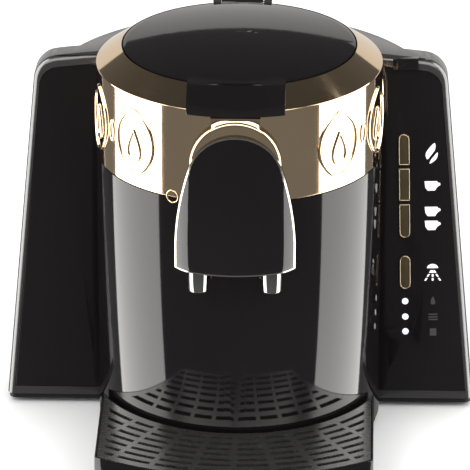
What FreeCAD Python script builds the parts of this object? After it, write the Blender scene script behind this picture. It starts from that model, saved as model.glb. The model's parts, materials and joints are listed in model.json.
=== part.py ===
import FreeCAD, Part
import math
import os

V = FreeCAD.Vector

# Electric Turkish coffee maker with two cups' spouts, in millimetres
# The pieces are drawn about the round column's axis, +X right, +Y back, +Z up, and moved back at the end

# Overall proportions, each measured from the column's wall
COLUMN_RADIUS = 81.0
REAR_DEPTH = 23.0
TRAY_DEPTH = 59.0
WING_SPAN = 37.6
REAR_RADIUS = COLUMN_RADIUS + REAR_DEPTH
TRAY_REACH = COLUMN_RADIUS + TRAY_DEPTH
COLUMN_Y = (TRAY_REACH - REAR_RADIUS) / 2
FAR = 400.0

# Base and feet
FOOT_RADIUS = 9.0
FOOT_HEIGHT = 3.0
FOOT_RECESS = 1.5
BASE_THICK = 3.0
BASE_TOP = FOOT_HEIGHT + BASE_THICK
BASE_SETBACK = 1.0
SCREW_RADIUS = 1.6
SCREW_HEAD_RADIUS = 3.2
SCREW_HEAD_HEIGHT = 1.6
SCREW_LENGTH = 14.0
BOSS_RADIUS = 4.5

# Round column and gold band
COLUMN_WALL = 2.5
SEAM = 0.5
BAND_BOTTOM = 166.2
BAND_TOP = 220.0
BAND_WALL = 2.0
CHAMFER_HEIGHT = 10.1
CHAMFER_RUN = 14.5
COLUMN_BACK = 32.0
BORE_GAP = 0.6

# Wings and rear drum
WALL = 2.5
WING_REAR = 50.0
WING_TOP_HALF = COLUMN_RADIUS + WING_SPAN
WING_SHOULDER_Z = 201.0
WING_TAPER = 0.087
WING_CORNER = 15.0
CROWN_Z = 216.6
CROWN_SAG = 7.5
TOP_FALL = 0.10
FACE_BOTTOM_Y = 10.0
FACE_LEAN = math.atan(17.0 / 202.0)
EDGE_ROUND = 4.0
CAP_THICK = 3.4
SIDE_LOW = -40.0

# Front faces with the buttons
FASCIA_THICK = 2.5
FASCIA_GAP = 0.3
FASCIA_MARGIN = 4.1
FASCIA_LOW = 5.0
FASCIA_TOP_DROP = 6.4
PANEL_X = COLUMN_RADIUS + 13.6
PANEL_TILT = 1.2
BUTTON_WIDTH = 6.5
BUTTON_GAP = 0.2
BUTTON_PROUD = 0.8
BUTTON_DEPTH = 4.6
BUTTON_FLANGE = 0.9
BUTTON_SPANS = {"button_ember": (147.8, 166.5), "button_single": (126.3, 145.9),
                "button_double": (104.0, 124.4), "button_clean": (73.0, 93.4)}
LAMP_HEIGHTS = (65.4, 56.0, 47.0)
LAMP_RADIUS = 1.85
BOARD_DEPTH = 8.6
BOARD_THICK = 1.6

# Water tank, its lid and its outlet
BAY_HALF = COLUMN_RADIUS + 5.0
BAY_FRONT = 36.0
BAY_FLOOR = 30.0
TANK_GAP = 0.8
TANK_LIFT_GAP = 0.3
TANK_WALL = 2.0
TANK_FLOOR = 3.0
CAP_RING_GAP = 1.0
HINGE_LINE = REAR_RADIUS - 10.0
BARREL_RADIUS = 3.4
BARREL_HALF = 38.0
GROOVE_GAP = 0.5
LUG_X0 = 20.0
LUG_X1 = 26.0
PIN_RADIUS = 1.5
PIN_CLEARANCE = 0.05
BRIDGE_DEPTH = 11.0
THUMB_WIDTH = 14.4
THUMB_X0 = WING_TOP_HALF - 31.6
THUMB_X1 = THUMB_X0 + THUMB_WIDTH
THUMB_THICK = 1.7
THUMB_LIP_GAP = 0.5
THUMB_LIP_THICK = 1.2
THUMB_LIP_HANG = 6.2
OUTLET_Y = (COLUMN_RADIUS + BORE_GAP + WALL + TANK_GAP + REAR_RADIUS) / 2
SPIGOT_RADIUS = 5.6
SPIGOT_BORE = 4.2
SEAT_BORE = 3.0
SOCKET_GAP = 0.4
SOCKET_WALL = 2.4
POPPET_RADIUS = 3.8
POPPET_LIFT = 1.5

# Brewing chamber and its lid
LID_GAP = 0.8
LID_RADIUS = COLUMN_RADIUS - CHAMFER_RUN - LID_GAP
CHAMBER_RADIUS = LID_RADIUS - 13.7
CHAMBER_WALL = 1.5
CHAMBER_BOTTOM = 152.0
CHAMBER_FLOOR = 2.5
CHAMBER_ROUND = 2.0
RIM_WIDTH = 6.0
RIM_RADIUS = CHAMBER_RADIUS + RIM_WIDTH
RIM_BOTTOM = 213.0
RIM_TOP = 215.5
RECESS_FLOOR = 217.6
LID_EDGE_Z = BAND_TOP + CHAMFER_HEIGHT
LID_RISE = 6.9
LID_SHELL = 2.5
LID_SKIRT = 3.6
LID_DRAFT = 1.6
TAB_HALF = 27.3
TAB_OVERHANG = 4.0
TAB_FRONT = COLUMN_RADIUS + TAB_OVERHANG
TAB_LIP_TOP = 222.9
TAB_LIP_BOTTOM = 218.6
TAB_GAP = 0.6
LID_AXIS_Y = COLUMN_RADIUS - 12.0
LID_AXIS_Z = 228.4
KNUCKLE_RADIUS = 2.7
KNUCKLE_HALF = 12.0
EAR_THICK = 4.5
EAR_GAP = 0.4
LID_PIN_RADIUS = 1.3
NOTCH_GAP = 0.2
NOTCH_BACK = 4.2
NOTCH_DEEP = 4.2

# Spout on the front of the band
BOSS_Z = 190.4
BOSS_DISC_RADIUS = 25.4
BOSS_PROUD = 5.5
BOSS_FRONT = COLUMN_RADIUS + BOSS_PROUD
NECK_HALF = 13.8
NECK_TOP = 217.8
HOOD_BOTTOM = 131.5
HOOD_HALF = 33.0
HOOD_TOP = 208.0
HOOD_REACH = 22.0
HOOD_FRONT = COLUMN_RADIUS + HOOD_REACH
HOOD_PLAN_RADIUS = 66.0
HOOD_MID_PLAN = 62.5
HOOD_TOP_PLAN = 50.0
HOOD_WALL = 2.2
TRIM_WIDTH = 1.3
TRIM_PROUD = 0.5
TRIM_DEPTH = 2.0
NOZZLE_RADIUS = 5.4
NOZZLE_HALF_SPACING = 20.4
NOZZLE_REACH = 9.0
NOZZLE_Y = -COLUMN_RADIUS - NOZZLE_REACH
NOZZLE_BOTTOM = 117.7
MANIFOLD_GAP = 0.4
MANIFOLD_BOTTOM = 130.0
MANIFOLD_TOP = 142.0
PIPE_RADIUS = 4.0
PIPE_BORE = 2.6
PIPE_Z = 136.0
OUTLET_DROP_Y = 14.0 - CHAMBER_RADIUS
PIPE_END_Y = -COLUMN_RADIUS - 2.5
SEAL_RADIUS = 8.5
HEATER_GAP = 4.5
HEATER_FRONT = OUTLET_DROP_Y + SEAL_RADIUS + HEATER_GAP
HEATER_BACK = CHAMBER_RADIUS - 11.0
HEATER_RADIUS = (HEATER_BACK - HEATER_FRONT) / 2
HEATER_Y = (HEATER_BACK + HEATER_FRONT) / 2
VALVE_TOP = CHAMBER_BOTTOM - 7.0
VALVE_LOW = PIPE_Z - 8.0
VALVE_COIL_HEIGHT = 24.0

# Drip tray
TRAY_HALF = COLUMN_RADIUS - 3.0
TRAY_TOP = 26.0
TRAY_WALL = 2.2
TRAY_FLOOR = 2.4
TRAY_LIFT_GAP = 0.3
TRAY_COLUMN_GAP = 1.5
GRILLE_THICK = 2.0
GRILLE_GAP = 0.4
GRILLE_LEDGE = 1.0
SLOT_WIDTH = 3.0
SLOT_PITCH = 7.0

# Works inside the column
PUMP_X = -34.0
PUMP_Y = 18.0
PUMP_RADIUS = 15.0
PUMP_BOTTOM = 22.0
PUMP_TOP = 84.0
HOSE_RADIUS = 3.5
HOSE_BORE = 2.0
SOCKET_BOTTOM = 13.0
SUCTION_Z = SOCKET_BOTTOM + 5.0
HOSE_TOP_Y = math.sqrt((RIM_RADIUS + 8.4) ** 2 - PUMP_X ** 2)

# Rear switch and mains inlet
SWITCH_X = 14.6 - WING_TOP_HALF
SWITCH_Z = 66.0
INLET_Z = 32.0
ROCKER_TILT = 8.0
ROCKER_AXIS_Y = WING_REAR - 1.0
PIVOT_RADIUS = 1.5
PIVOT_REACH = 6.5
PIVOT_GAP = 0.1
SWITCH_MOUTH = 5.6

# Main board beside the left wing's outer wall
MAIN_BOARD_X = 6.6 - WING_TOP_HALF
MAIN_BOARD_Y = WING_REAR - 18.5
MAIN_BOARD_WIDTH = 15.7


def cyl(radius, z0, z1, x=0.0, y=0.0):
    return Part.makeCylinder(radius, z1 - z0, V(x, y, z0))


def tube(outer, inner, z0, z1, x=0.0, y=0.0):
    return cyl(outer, z0, z1, x, y).cut(cyl(inner, z0 - 1, z1 + 1, x, y))


def block(x0, x1, y0, y1, z0, z1):
    return Part.makeBox(x1 - x0, y1 - y0, z1 - z0, V(x0, y0, z0))


def rod_x(radius, x0, x1, y, z):
    return Part.makeCylinder(radius, x1 - x0, V(x0, y, z), V(1, 0, 0))


def rod_y(radius, y0, y1, x, z):
    return Part.makeCylinder(radius, y1 - y0, V(x, y0, z), V(0, 1, 0))


def side_prism(points, x0, x1):
    """A prism along X over a closed outline of (y, z) points."""
    loop = [V(x0, y, z) for y, z in points]
    return Part.Face(Part.makePolygon(loop + loop[:1])).extrude(V(x1 - x0, 0, 0))


def turned(points):
    """A solid turned about the column's axis from a closed outline of (radius, z) points."""
    loop = [V(r, 0, z) for r, z in points]
    return Part.Face(Part.makePolygon(loop + loop[:1])).revolve(V(0, 0, 0), V(0, 0, 1), 360)


# Outer form of wings, rear drum and cap
def swept_outline(inset, drop, y0, y1, corner):
    """The front outline swept back along the falling top, with rounded shoulders."""
    top = CROWN_Z - drop + TOP_FALL * (WING_REAR / 2 - y0)
    corner_z = top - CROWN_SAG
    corner_x = WING_TOP_HALF + (WING_SHOULDER_Z - corner_z) * WING_TAPER - inset
    low_x = WING_TOP_HALF + (WING_SHOULDER_Z - SIDE_LOW) * WING_TAPER - inset
    left, right = V(-corner_x, y0, corner_z), V(corner_x, y0, corner_z)
    low_left, low_right = V(-low_x, y0, SIDE_LOW), V(low_x, y0, SIDE_LOW)
    edges = [Part.makeLine(low_left, low_right), Part.makeLine(low_right, right),
             Part.Arc(right, V(0, y0, top), left).toShape(), Part.makeLine(left, low_left)]
    travel = V(0, y1 - y0, -TOP_FALL * (y1 - y0))
    solid = Part.Face(Part.Wire(edges)).extrude(travel)
    if corner > 0:
        shoulders = [e for e in solid.Edges
                     if e.CenterOfMass.z > corner_z - 20 and abs(abs(e.CenterOfMass.x) - corner_x) < 0.5
                     and abs(e.Length - travel.Length) < 0.01]
        solid = solid.makeFillet(corner, shoulders)
    return solid


def face_layer(depth0, depth1, x0=-FAR, x1=FAR, up0=-60.0, up1=300.0):
    """A slab parallel to the leaning front faces, between two depths behind them."""
    slab = block(x0, x1, depth0, depth1, up0, up1)
    return to_face(slab)


def to_face(shape):
    """Move a shape drawn against the plane Y = 0 onto the leaning front face."""
    moved = shape.copy()
    moved.rotate(V(0, 0, 0), V(1, 0, 0), -math.degrees(FACE_LEAN))
    moved.translate(V(0, FACE_BOTTOM_Y, BASE_TOP))
    return moved


def face_up(z):
    return (z - BASE_TOP) / math.cos(FACE_LEAN)


def plan_form(inset, drop, corner, edge=0.0):
    slab = swept_outline(inset, drop, -10.0, WING_REAR - inset, corner)
    if edge > 0:
        rear = [e for e in slab.Edges if all(abs(v.Point.y - WING_REAR) < 0.01 for v in e.Vertexes)
                and e.CenterOfMass.z > SIDE_LOW + 1]
        slab = slab.makeFillet(edge, rear)
    drum = swept_outline(inset, drop, -10.0, REAR_RADIUS + 10, corner)
    drum = drum.common(cyl(REAR_RADIUS - inset, SIDE_LOW - 60, FAR)).common(
        block(-FAR, FAR, 0, FAR, SIDE_LOW - 60, FAR))
    return slab.fuse(drum).removeSplitter()


def outer_form():
    form = plan_form(0, 0, WING_CORNER, EDGE_ROUND)
    form = form.cut(face_layer(-FAR, 0))
    form = form.cut(cyl(COLUMN_RADIUS + BORE_GAP, SIDE_LOW - 60, FAR))
    form = form.common(block(-FAR, FAR, -FAR, FAR, BASE_TOP, FAR))
    normal = V(0, -math.cos(FACE_LEAN), math.sin(FACE_LEAN))
    base_point = V(0, FACE_BOTTOM_Y, BASE_TOP)

    def on_face(edge):
        return all(abs((v.Point - base_point).dot(normal)) < 1e-3 for v in edge.Vertexes)

    def at_bore(edge):
        return all(math.hypot(v.Point.x, v.Point.y) < COLUMN_RADIUS + 3 for v in edge.Vertexes)

    front = [e for e in form.Edges if on_face(e) and not at_bore(e) and e.CenterOfMass.z > BASE_TOP + 1]
    return form.makeFillet(EDGE_ROUND, front)


def below_seam(drop):
    return swept_outline(-60.0, drop, -20.0, REAR_RADIUS + 20, 0)


# Base, feet and screws
def base_outline(setback, z0, z1):
    wing_half = WING_TOP_HALF + (WING_SHOULDER_Z - BASE_TOP) * WING_TAPER - setback
    wings = block(-wing_half, wing_half, FACE_BOTTOM_Y + setback, WING_REAR - setback, z0, z1)
    wings = wings.makeFillet(EDGE_ROUND, [e for e in wings.Edges if abs(e.Length - (z1 - z0)) < 1e-6])
    tongue = cyl(TRAY_REACH - 2 * setback, z0, z1).common(
        block(-TRAY_HALF + setback, TRAY_HALF - setback, -TRAY_REACH, 0, z0, z1))
    return wings.fuse([cyl(REAR_RADIUS - setback, z0, z1).common(block(-FAR, FAR, 2 * FACE_BOTTOM_Y, FAR, z0, z1)),
                       cyl(COLUMN_RADIUS - setback, z0, z1), tongue]).removeSplitter()


FOOT_PLACES = [(side * x, y) for x, y in ((WING_TOP_HALF - 2.6, WING_REAR - 20.0),
                                         (TRAY_HALF - 26.0, 32.0 - TRAY_REACH), (44.0, REAR_RADIUS - 20.0))
               for side in (-1, 1)]
SCREW_PLACES = [(side * x, y) for x, y in ((WING_TOP_HALF + 9.4, WING_REAR - 10.0), (58.0, REAR_RADIUS - 22.0))
                for side in (-1, 1)]


def make_base():
    base = base_outline(BASE_SETBACK, FOOT_HEIGHT, BASE_TOP)
    for x, y in FOOT_PLACES:
        base = base.cut(cyl(FOOT_RADIUS, FOOT_HEIGHT - 1, FOOT_HEIGHT + FOOT_RECESS, x, y))
    for x, y in SCREW_PLACES:
        base = base.cut(cyl(SCREW_RADIUS + 0.2, 0, FAR, x, y))
        base = base.cut(cyl(SCREW_HEAD_RADIUS + 0.2, 0, FOOT_HEIGHT + SCREW_HEAD_HEIGHT, x, y))
    return base


def make_feet():
    feet = []
    for x, y in FOOT_PLACES:
        pad = cyl(FOOT_RADIUS, 0, FOOT_HEIGHT + FOOT_RECESS, x, y)
        feet.append(pad.makeChamfer(0.8, [e for e in pad.Edges if e.CenterOfMass.z < 0.1 and e.Closed]))
    return Part.makeCompound(feet)


def make_screws():
    screws = []
    for x, y in SCREW_PLACES:
        head_top = FOOT_HEIGHT + SCREW_HEAD_HEIGHT
        head = cyl(SCREW_HEAD_RADIUS, FOOT_HEIGHT + 0.2, head_top, x, y)
        screws.append(head.fuse(cyl(SCREW_RADIUS, head_top - 0.1, head_top + SCREW_LENGTH, x, y)))
    return Part.makeCompound(screws)


# Column and gold band
def make_column():
    shell = tube(COLUMN_RADIUS, COLUMN_RADIUS - COLUMN_WALL, BASE_TOP, BAND_BOTTOM - SEAM)
    shell = shell.common(block(-FAR, FAR, -FAR, COLUMN_BACK, 0, FAR))
    return shell.cut(rod_y(PIPE_RADIUS + 0.5, -COLUMN_RADIUS - 5, 20 - COLUMN_RADIUS, 0, PIPE_Z))


def make_band():
    slope = CHAMFER_HEIGHT / (COLUMN_RADIUS - LID_RADIUS - LID_GAP)
    bore = LID_RADIUS + LID_GAP
    drop = BAND_WALL * math.hypot(1, slope)
    inner_top = LID_EDGE_Z - drop
    inner = COLUMN_RADIUS - BAND_WALL
    band = turned([(COLUMN_RADIUS, BAND_BOTTOM), (COLUMN_RADIUS, BAND_TOP), (bore, LID_EDGE_Z),
                   (bore, inner_top), (inner, inner_top - (inner - bore) * slope), (inner, BAND_BOTTOM)])
    half = KNUCKLE_HALF + EAR_GAP + EAR_THICK + NOTCH_GAP
    return band.cut(block(-half, half, 0, LID_AXIS_Y + NOTCH_BACK, LID_AXIS_Z - NOTCH_DEEP, FAR))


def make_carrier():
    rim_seat = RIM_RADIUS + 0.4
    outer = COLUMN_RADIUS - BAND_WALL - 0.3
    ring = turned([(CHAMBER_RADIUS + 0.5, RIM_BOTTOM - 4), (outer, RIM_BOTTOM - 4), (outer, RECESS_FLOOR),
                   (rim_seat, RECESS_FLOOR), (rim_seat, RIM_BOTTOM), (CHAMBER_RADIUS + 0.5, RIM_BOTTOM)])
    return ring.cut(cyl(HOSE_RADIUS + 0.3, 100, RIM_BOTTOM + 10, PUMP_X, HOSE_TOP_Y))


# Housing of wings and drum
def bay_space(gap, floor_z):
    space = block(-BAY_HALF + gap, BAY_HALF - gap, BAY_FRONT + gap, FAR, floor_z, FAR)
    return space.cut(cyl(COLUMN_RADIUS + BORE_GAP + WALL + gap, SIDE_LOW, FAR))


def fascia_region(margin, depth0, depth1):
    shape = swept_outline(margin, FASCIA_TOP_DROP + margin - FASCIA_MARGIN, -10.0, WING_REAR,
                          WING_CORNER - margin)
    shape = shape.common(face_layer(depth0, depth1))
    return shape.common(block(-FAR, FAR, -FAR, FAR, BASE_TOP + FASCIA_LOW + margin - FASCIA_MARGIN, FAR))


def make_housing(form):
    housing = form.common(below_seam(CAP_THICK + SEAM))
    cavity = plan_form(WALL, CAP_THICK + SEAM + WALL, WING_CORNER - WALL)
    cavity = cavity.cut(face_layer(-FAR, FASCIA_THICK + FASCIA_GAP + WALL))
    cavity = cavity.cut(cyl(COLUMN_RADIUS + BORE_GAP + WALL, SIDE_LOW - 60, FAR))
    cavity = cavity.cut(bay_space(-WALL, BAY_FLOOR - WALL))
    housing = housing.cut(cavity).cut(bay_space(0, BAY_FLOOR))
    housing = housing.cut(fascia_region(FASCIA_MARGIN - FASCIA_GAP, -FAR, FASCIA_THICK + FASCIA_GAP))
    for x, y in SCREW_PLACES:
        post = cyl(BOSS_RADIUS, BASE_TOP, BAY_FLOOR - WALL, x, y)
        housing = housing.fuse(post).cut(cyl(SCREW_RADIUS, 0, FOOT_HEIGHT + SCREW_LENGTH + 4, x, y))
    socket_radius = SPIGOT_RADIUS + SOCKET_GAP + SOCKET_WALL
    housing = housing.cut(cyl(socket_radius + 0.3, 0, BAY_FLOOR + 1, 0, OUTLET_Y))
    housing = housing.cut(rod_y(HOSE_RADIUS + 0.4, 60, OUTLET_Y, 0, SUCTION_Z))
    window = face_layer(0, 20, PANEL_X - 8, PANEL_X + 8, face_up(40), face_up(172))
    housing = housing.cut(window)
    housing = housing.cut(block(SWITCH_X - 7.2, SWITCH_X + 7.2, 40, WING_REAR + 2, SWITCH_Z - 11.2, SWITCH_Z + 11.2))
    housing = housing.cut(rod_y(6.2, 40, WING_REAR + 2, SWITCH_X, INLET_Z))
    return housing.removeSplitter()


def make_fascia(side):
    plate = fascia_region(FASCIA_MARGIN, 0, FASCIA_THICK)
    plate = plate.cut(cyl(COLUMN_RADIUS + BORE_GAP, -FAR, FAR))
    half = block(0, FAR, -FAR, FAR, 0, FAR) if side > 0 else block(-FAR, 0, -FAR, FAR, 0, FAR)
    plate = plate.common(half)
    if side > 0:
        for name in BUTTON_SPANS:
            plate = plate.cut(button_form(name, BUTTON_GAP, -5, FASCIA_THICK + 5))
        for z in LAMP_HEIGHTS:
            plate = plate.cut(lamp_form(z, LAMP_RADIUS + 0.1, -5, FASCIA_THICK + 5))
    return plate


# Buttons and lamps on the right face
def on_panel(shape):
    """Place a shape drawn about the panel's own middle line on the right face."""
    tilted = shape.copy()
    middle = V(PANEL_X, 0, face_up(sum(BUTTON_SPANS["button_double"]) / 2))
    tilted.rotate(middle, V(0, 1, 0), -PANEL_TILT)
    return to_face(tilted)


def capsule(x, up0, up1, half, depth0, depth1, round_top, round_bottom):
    low = up0 + half if round_bottom else up0
    high = up1 - half if round_top else up1
    shape = block(x - half, x + half, depth0, depth1, low, high)
    if round_top:
        shape = shape.fuse(rod_y(half, depth0, depth1, x, high))
    if round_bottom:
        shape = shape.fuse(rod_y(half, depth0, depth1, x, low))
    return shape.removeSplitter()


def button_form(name, grow, depth0, depth1):
    low, high = BUTTON_SPANS[name]
    round_top = name in ("button_ember", "button_clean")
    round_bottom = name in ("button_double", "button_clean")
    return on_panel(capsule(PANEL_X, face_up(low) - grow, face_up(high) + grow, BUTTON_WIDTH / 2 + grow,
                            depth0, depth1, round_top, round_bottom))


def make_button(name):
    body = button_form(name, 0, -BUTTON_PROUD, BUTTON_DEPTH)
    back = FASCIA_THICK + FASCIA_GAP
    return body.fuse(button_form(name, 0.6, back, back + BUTTON_FLANGE)).removeSplitter()


def lamp_form(z, radius, depth0, depth1):
    return on_panel(rod_y(radius, depth0, depth1, PANEL_X, face_up(z)))


def make_lamps():
    return Part.makeCompound([lamp_form(z, LAMP_RADIUS, -0.2, BOARD_DEPTH - 0.2) for z in LAMP_HEIGHTS])


def make_panel_board():
    """The board behind the buttons, with the moulded spacers that hold it off the front wall."""
    board = block(PANEL_X - 6, PANEL_X + 14, BOARD_DEPTH, BOARD_DEPTH + BOARD_THICK, face_up(40), face_up(172))
    front = FASCIA_THICK + FASCIA_GAP + WALL
    spacers = [rod_y(2.2, front, BOARD_DEPTH + 0.5, PANEL_X + 11.5, face_up(z)) for z in (52, 112, 160)]
    return on_panel(board.fuse(spacers))


def make_push_switches():
    switches = []
    for low, high in BUTTON_SPANS.values():
        middle = face_up((low + high) / 2)
        case = block(PANEL_X - 3, PANEL_X + 3, BOARD_DEPTH - 2, BOARD_DEPTH, middle - 3, middle + 3)
        switches.append(on_panel(case.fuse(rod_y(1.6, BOARD_DEPTH - 2.6, BOARD_DEPTH - 1, PANEL_X, middle))))
    return Part.makeCompound(switches)



# Cap over the tank with its thumb tab
def cap_axis_z():
    return CROWN_Z - TOP_FALL * (HINGE_LINE - WING_REAR / 2) - BARREL_RADIUS


def make_cap(form):
    cap = form.cut(below_seam(CAP_THICK)).common(block(-FAR, FAR, -FAR, HINGE_LINE, 0, FAR))
    cap = cap.cut(cyl(COLUMN_RADIUS + CAP_RING_GAP, 0, FAR))
    cap = cap.fuse(rod_x(BARREL_RADIUS, -BARREL_HALF, BARREL_HALF, HINGE_LINE, cap_axis_z()))
    for side in (1, -1):
        x0, x1 = sorted((side * (LUG_X0 - 0.4), side * (LUG_X1 + 0.4)))
        cap = cap.cut(block(x0, x1, HINGE_LINE - BARREL_RADIUS - 1, FAR, 0, FAR))
    cap = cap.cut(rod_x(PIN_RADIUS + PIN_CLEARANCE, -FAR, FAR, HINGE_LINE, cap_axis_z()))
    return cap.cut(thumb_recess(form, 0.0)).removeSplitter()


def thumb_recess(form, side_gap):
    """The upper layer of the cap that the thumb tab takes the place of."""
    layer = form.cut(below_seam(THUMB_THICK))
    return layer.common(block(THUMB_X0 + side_gap, THUMB_X1 - side_gap, -FAR, FAR, 0, FAR))


def make_thumb_tab(form):
    """Tab let into the cap's top, with a finger lip hanging in front of the seam."""
    crest = CROWN_Z - CROWN_SAG * (THUMB_X1 / WING_TOP_HALF) ** 2
    lip = face_layer(-THUMB_LIP_GAP - THUMB_LIP_THICK, -THUMB_LIP_GAP, THUMB_X0, THUMB_X1,
                     face_up(crest - THUMB_LIP_HANG), face_up(crest))
    reach = face_layer(-THUMB_LIP_GAP - THUMB_LIP_THICK, EDGE_ROUND, THUMB_X0, THUMB_X1,
                       face_up(crest - THUMB_THICK - 0.8), face_up(crest)).cut(form)
    return thumb_recess(form, 0.0).fuse([lip, reach]).removeSplitter()


# Water tank
def make_tank(form):
    outer = form.common(below_seam(CAP_THICK + SEAM)).common(bay_space(TANK_GAP, BAY_FLOOR + TANK_LIFT_GAP))
    inner = cyl(REAR_RADIUS - TANK_WALL, 0, FAR).common(
        bay_space(TANK_GAP + TANK_WALL, BAY_FLOOR + TANK_LIFT_GAP + TANK_FLOOR))
    tank = outer.cut(inner)
    bridge = form.common(block(-FAR, FAR, HINGE_LINE, FAR, cap_axis_z() - BRIDGE_DEPTH, FAR))
    tank = tank.fuse(bridge)
    axis_z = cap_axis_z()
    groove = BARREL_RADIUS + GROOVE_GAP
    tank = tank.cut(rod_x(groove, -FAR, FAR, HINGE_LINE, axis_z))
    tank = tank.cut(block(-FAR, FAR, HINGE_LINE, HINGE_LINE + groove, axis_z, FAR))
    for side in (1, -1):
        x0, x1 = sorted((side * LUG_X0, side * LUG_X1))
        lug = rod_x(BARREL_RADIUS - 0.4, x0, x1, HINGE_LINE, axis_z)
        foot = block(x0, x1, HINGE_LINE - 2, HINGE_LINE + 6, axis_z - BRIDGE_DEPTH, axis_z)
        tank = tank.fuse(lug.fuse(foot))
    tank = tank.cut(rod_x(PIN_RADIUS, -FAR, FAR, HINGE_LINE, axis_z))
    return tank.cut(cyl(SPIGOT_RADIUS, 0, BAY_FLOOR + 10, 0, OUTLET_Y)).removeSplitter()


def make_cap_pin():
    return rod_x(PIN_RADIUS, -BARREL_HALF + 1, BARREL_HALF - 1, HINGE_LINE, cap_axis_z())


def tank_floor_top():
    return BAY_FLOOR + TANK_LIFT_GAP + TANK_FLOOR


def make_outlet():
    low = SOCKET_BOTTOM + 11
    top = tank_floor_top()
    body = cyl(SPIGOT_RADIUS, low, top, 0, OUTLET_Y).fuse(cyl(SPIGOT_RADIUS + 1.6, top, top + 2, 0, OUTLET_Y))
    body = body.cut(cyl(SEAT_BORE, 0, FAR, 0, OUTLET_Y))
    return body.cut(cyl(SPIGOT_BORE, low + 3, FAR, 0, OUTLET_Y))


def make_poppet():
    seat = SOCKET_BOTTOM + 14
    disc = cyl(POPPET_RADIUS, seat + POPPET_LIFT, seat + POPPET_LIFT + 1.6, 0, OUTLET_Y)
    return disc.fuse(cyl(1.5, seat - 2.5, seat + POPPET_LIFT + 5, 0, OUTLET_Y))


def make_poppet_spring():
    seat = SOCKET_BOTTOM + 14
    return tube(3.4, 2.4, seat + POPPET_LIFT + 1.9, tank_floor_top() + 3, 0, OUTLET_Y)


def make_filter():
    top = tank_floor_top() + 2
    cage = cyl(SPIGOT_RADIUS + 1.2, top, top + 12, 0, OUTLET_Y)
    return cage.cut(cyl(SPIGOT_RADIUS - 0.2, top - 1, top + 10.5, 0, OUTLET_Y))


def make_socket():
    radius = SPIGOT_RADIUS + SOCKET_GAP
    cup = cyl(radius + SOCKET_WALL, SOCKET_BOTTOM, BAY_FLOOR - 0.3, 0, OUTLET_Y)
    cup = cup.cut(cyl(radius, SOCKET_BOTTOM + 10, FAR, 0, OUTLET_Y))
    cup = cup.cut(cyl(radius - 2, SOCKET_BOTTOM + 2, FAR, 0, OUTLET_Y))
    cup = cup.fuse(cyl(1.2, SOCKET_BOTTOM + 1, SOCKET_BOTTOM + 11.2, 0, OUTLET_Y))
    cup = cup.fuse(cyl(5, BASE_TOP, SOCKET_BOTTOM + 1, 0, OUTLET_Y))
    return cup.cut(rod_y(HOSE_BORE, OUTLET_Y - 14, OUTLET_Y - 2, 0, SUCTION_Z))


# Brewing chamber
def make_chamber():
    cup = cyl(CHAMBER_RADIUS, CHAMBER_BOTTOM, RIM_TOP)
    cup = cup.makeFillet(CHAMBER_ROUND, [e for e in cup.Edges if e.Closed and e.CenterOfMass.z < CHAMBER_BOTTOM + 1])
    cup = cup.fuse(cyl(RIM_RADIUS, RIM_BOTTOM, RIM_TOP))
    inner = cyl(CHAMBER_RADIUS - CHAMBER_WALL, CHAMBER_BOTTOM + CHAMBER_FLOOR, RIM_TOP + 1)
    cup = cup.cut(inner).fuse(cyl(6, CHAMBER_BOTTOM - 7, CHAMBER_BOTTOM + 1, 0, OUTLET_DROP_Y))
    return cup.cut(cyl(PIPE_RADIUS, 100, CHAMBER_BOTTOM + 8, 0, OUTLET_DROP_Y))


def make_heater():
    return cyl(HEATER_RADIUS, CHAMBER_BOTTOM - 7.5, CHAMBER_BOTTOM - 0.3, 0, HEATER_Y)


def make_thermal_cutout():
    return cyl(7, CHAMBER_BOTTOM - 15, CHAMBER_BOTTOM - 7.5, 0, HEATER_Y)


def make_temperature_sensor():
    return cyl(3, CHAMBER_BOTTOM - 17, CHAMBER_BOTTOM - 7.5, 18, HEATER_Y + 4)


def make_stub_seal():
    return tube(SEAL_RADIUS, 6, CHAMBER_BOTTOM - 6.8, CHAMBER_BOTTOM - 0.3, 0, OUTLET_DROP_Y)


def make_valve_body():
    body = block(-11, 11, OUTLET_DROP_Y - 11, OUTLET_DROP_Y + 11, VALVE_LOW, VALVE_TOP)
    body = body.cut(cyl(PIPE_RADIUS, PIPE_Z, VALVE_TOP + 1, 0, OUTLET_DROP_Y))
    body = body.cut(rod_y(PIPE_BORE, OUTLET_DROP_Y - 12, OUTLET_DROP_Y, 0, PIPE_Z))
    return body.cut(cyl(3.3, VALVE_LOW - 1, PIPE_Z + 3, 0, OUTLET_DROP_Y))


def make_valve_coil():
    coil = cyl(12, VALVE_LOW - VALVE_COIL_HEIGHT, VALVE_LOW, 0, OUTLET_DROP_Y)
    return coil.cut(cyl(3.3, VALVE_LOW - VALVE_COIL_HEIGHT + 1, VALVE_LOW + 1, 0, OUTLET_DROP_Y))


def make_valve_plunger():
    return cyl(3.0, VALVE_LOW - 14, PIPE_Z - 0.4, 0, OUTLET_DROP_Y)


def make_valve_spring():
    return tube(2.9, 2.1, VALVE_LOW - VALVE_COIL_HEIGHT + 1.3, VALVE_LOW - 14.3, 0, OUTLET_DROP_Y)


def make_valve_bracket():
    """Post that carries the valve's coil on the base."""
    post = block(-8, 8, OUTLET_DROP_Y - 6, OUTLET_DROP_Y + 6, BASE_TOP, VALVE_LOW - VALVE_COIL_HEIGHT)
    return post.cut(block(-5.5, 5.5, OUTLET_DROP_Y - 3.5, OUTLET_DROP_Y + 3.5, BASE_TOP - 1,
                          VALVE_LOW - VALVE_COIL_HEIGHT - 3))


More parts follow.
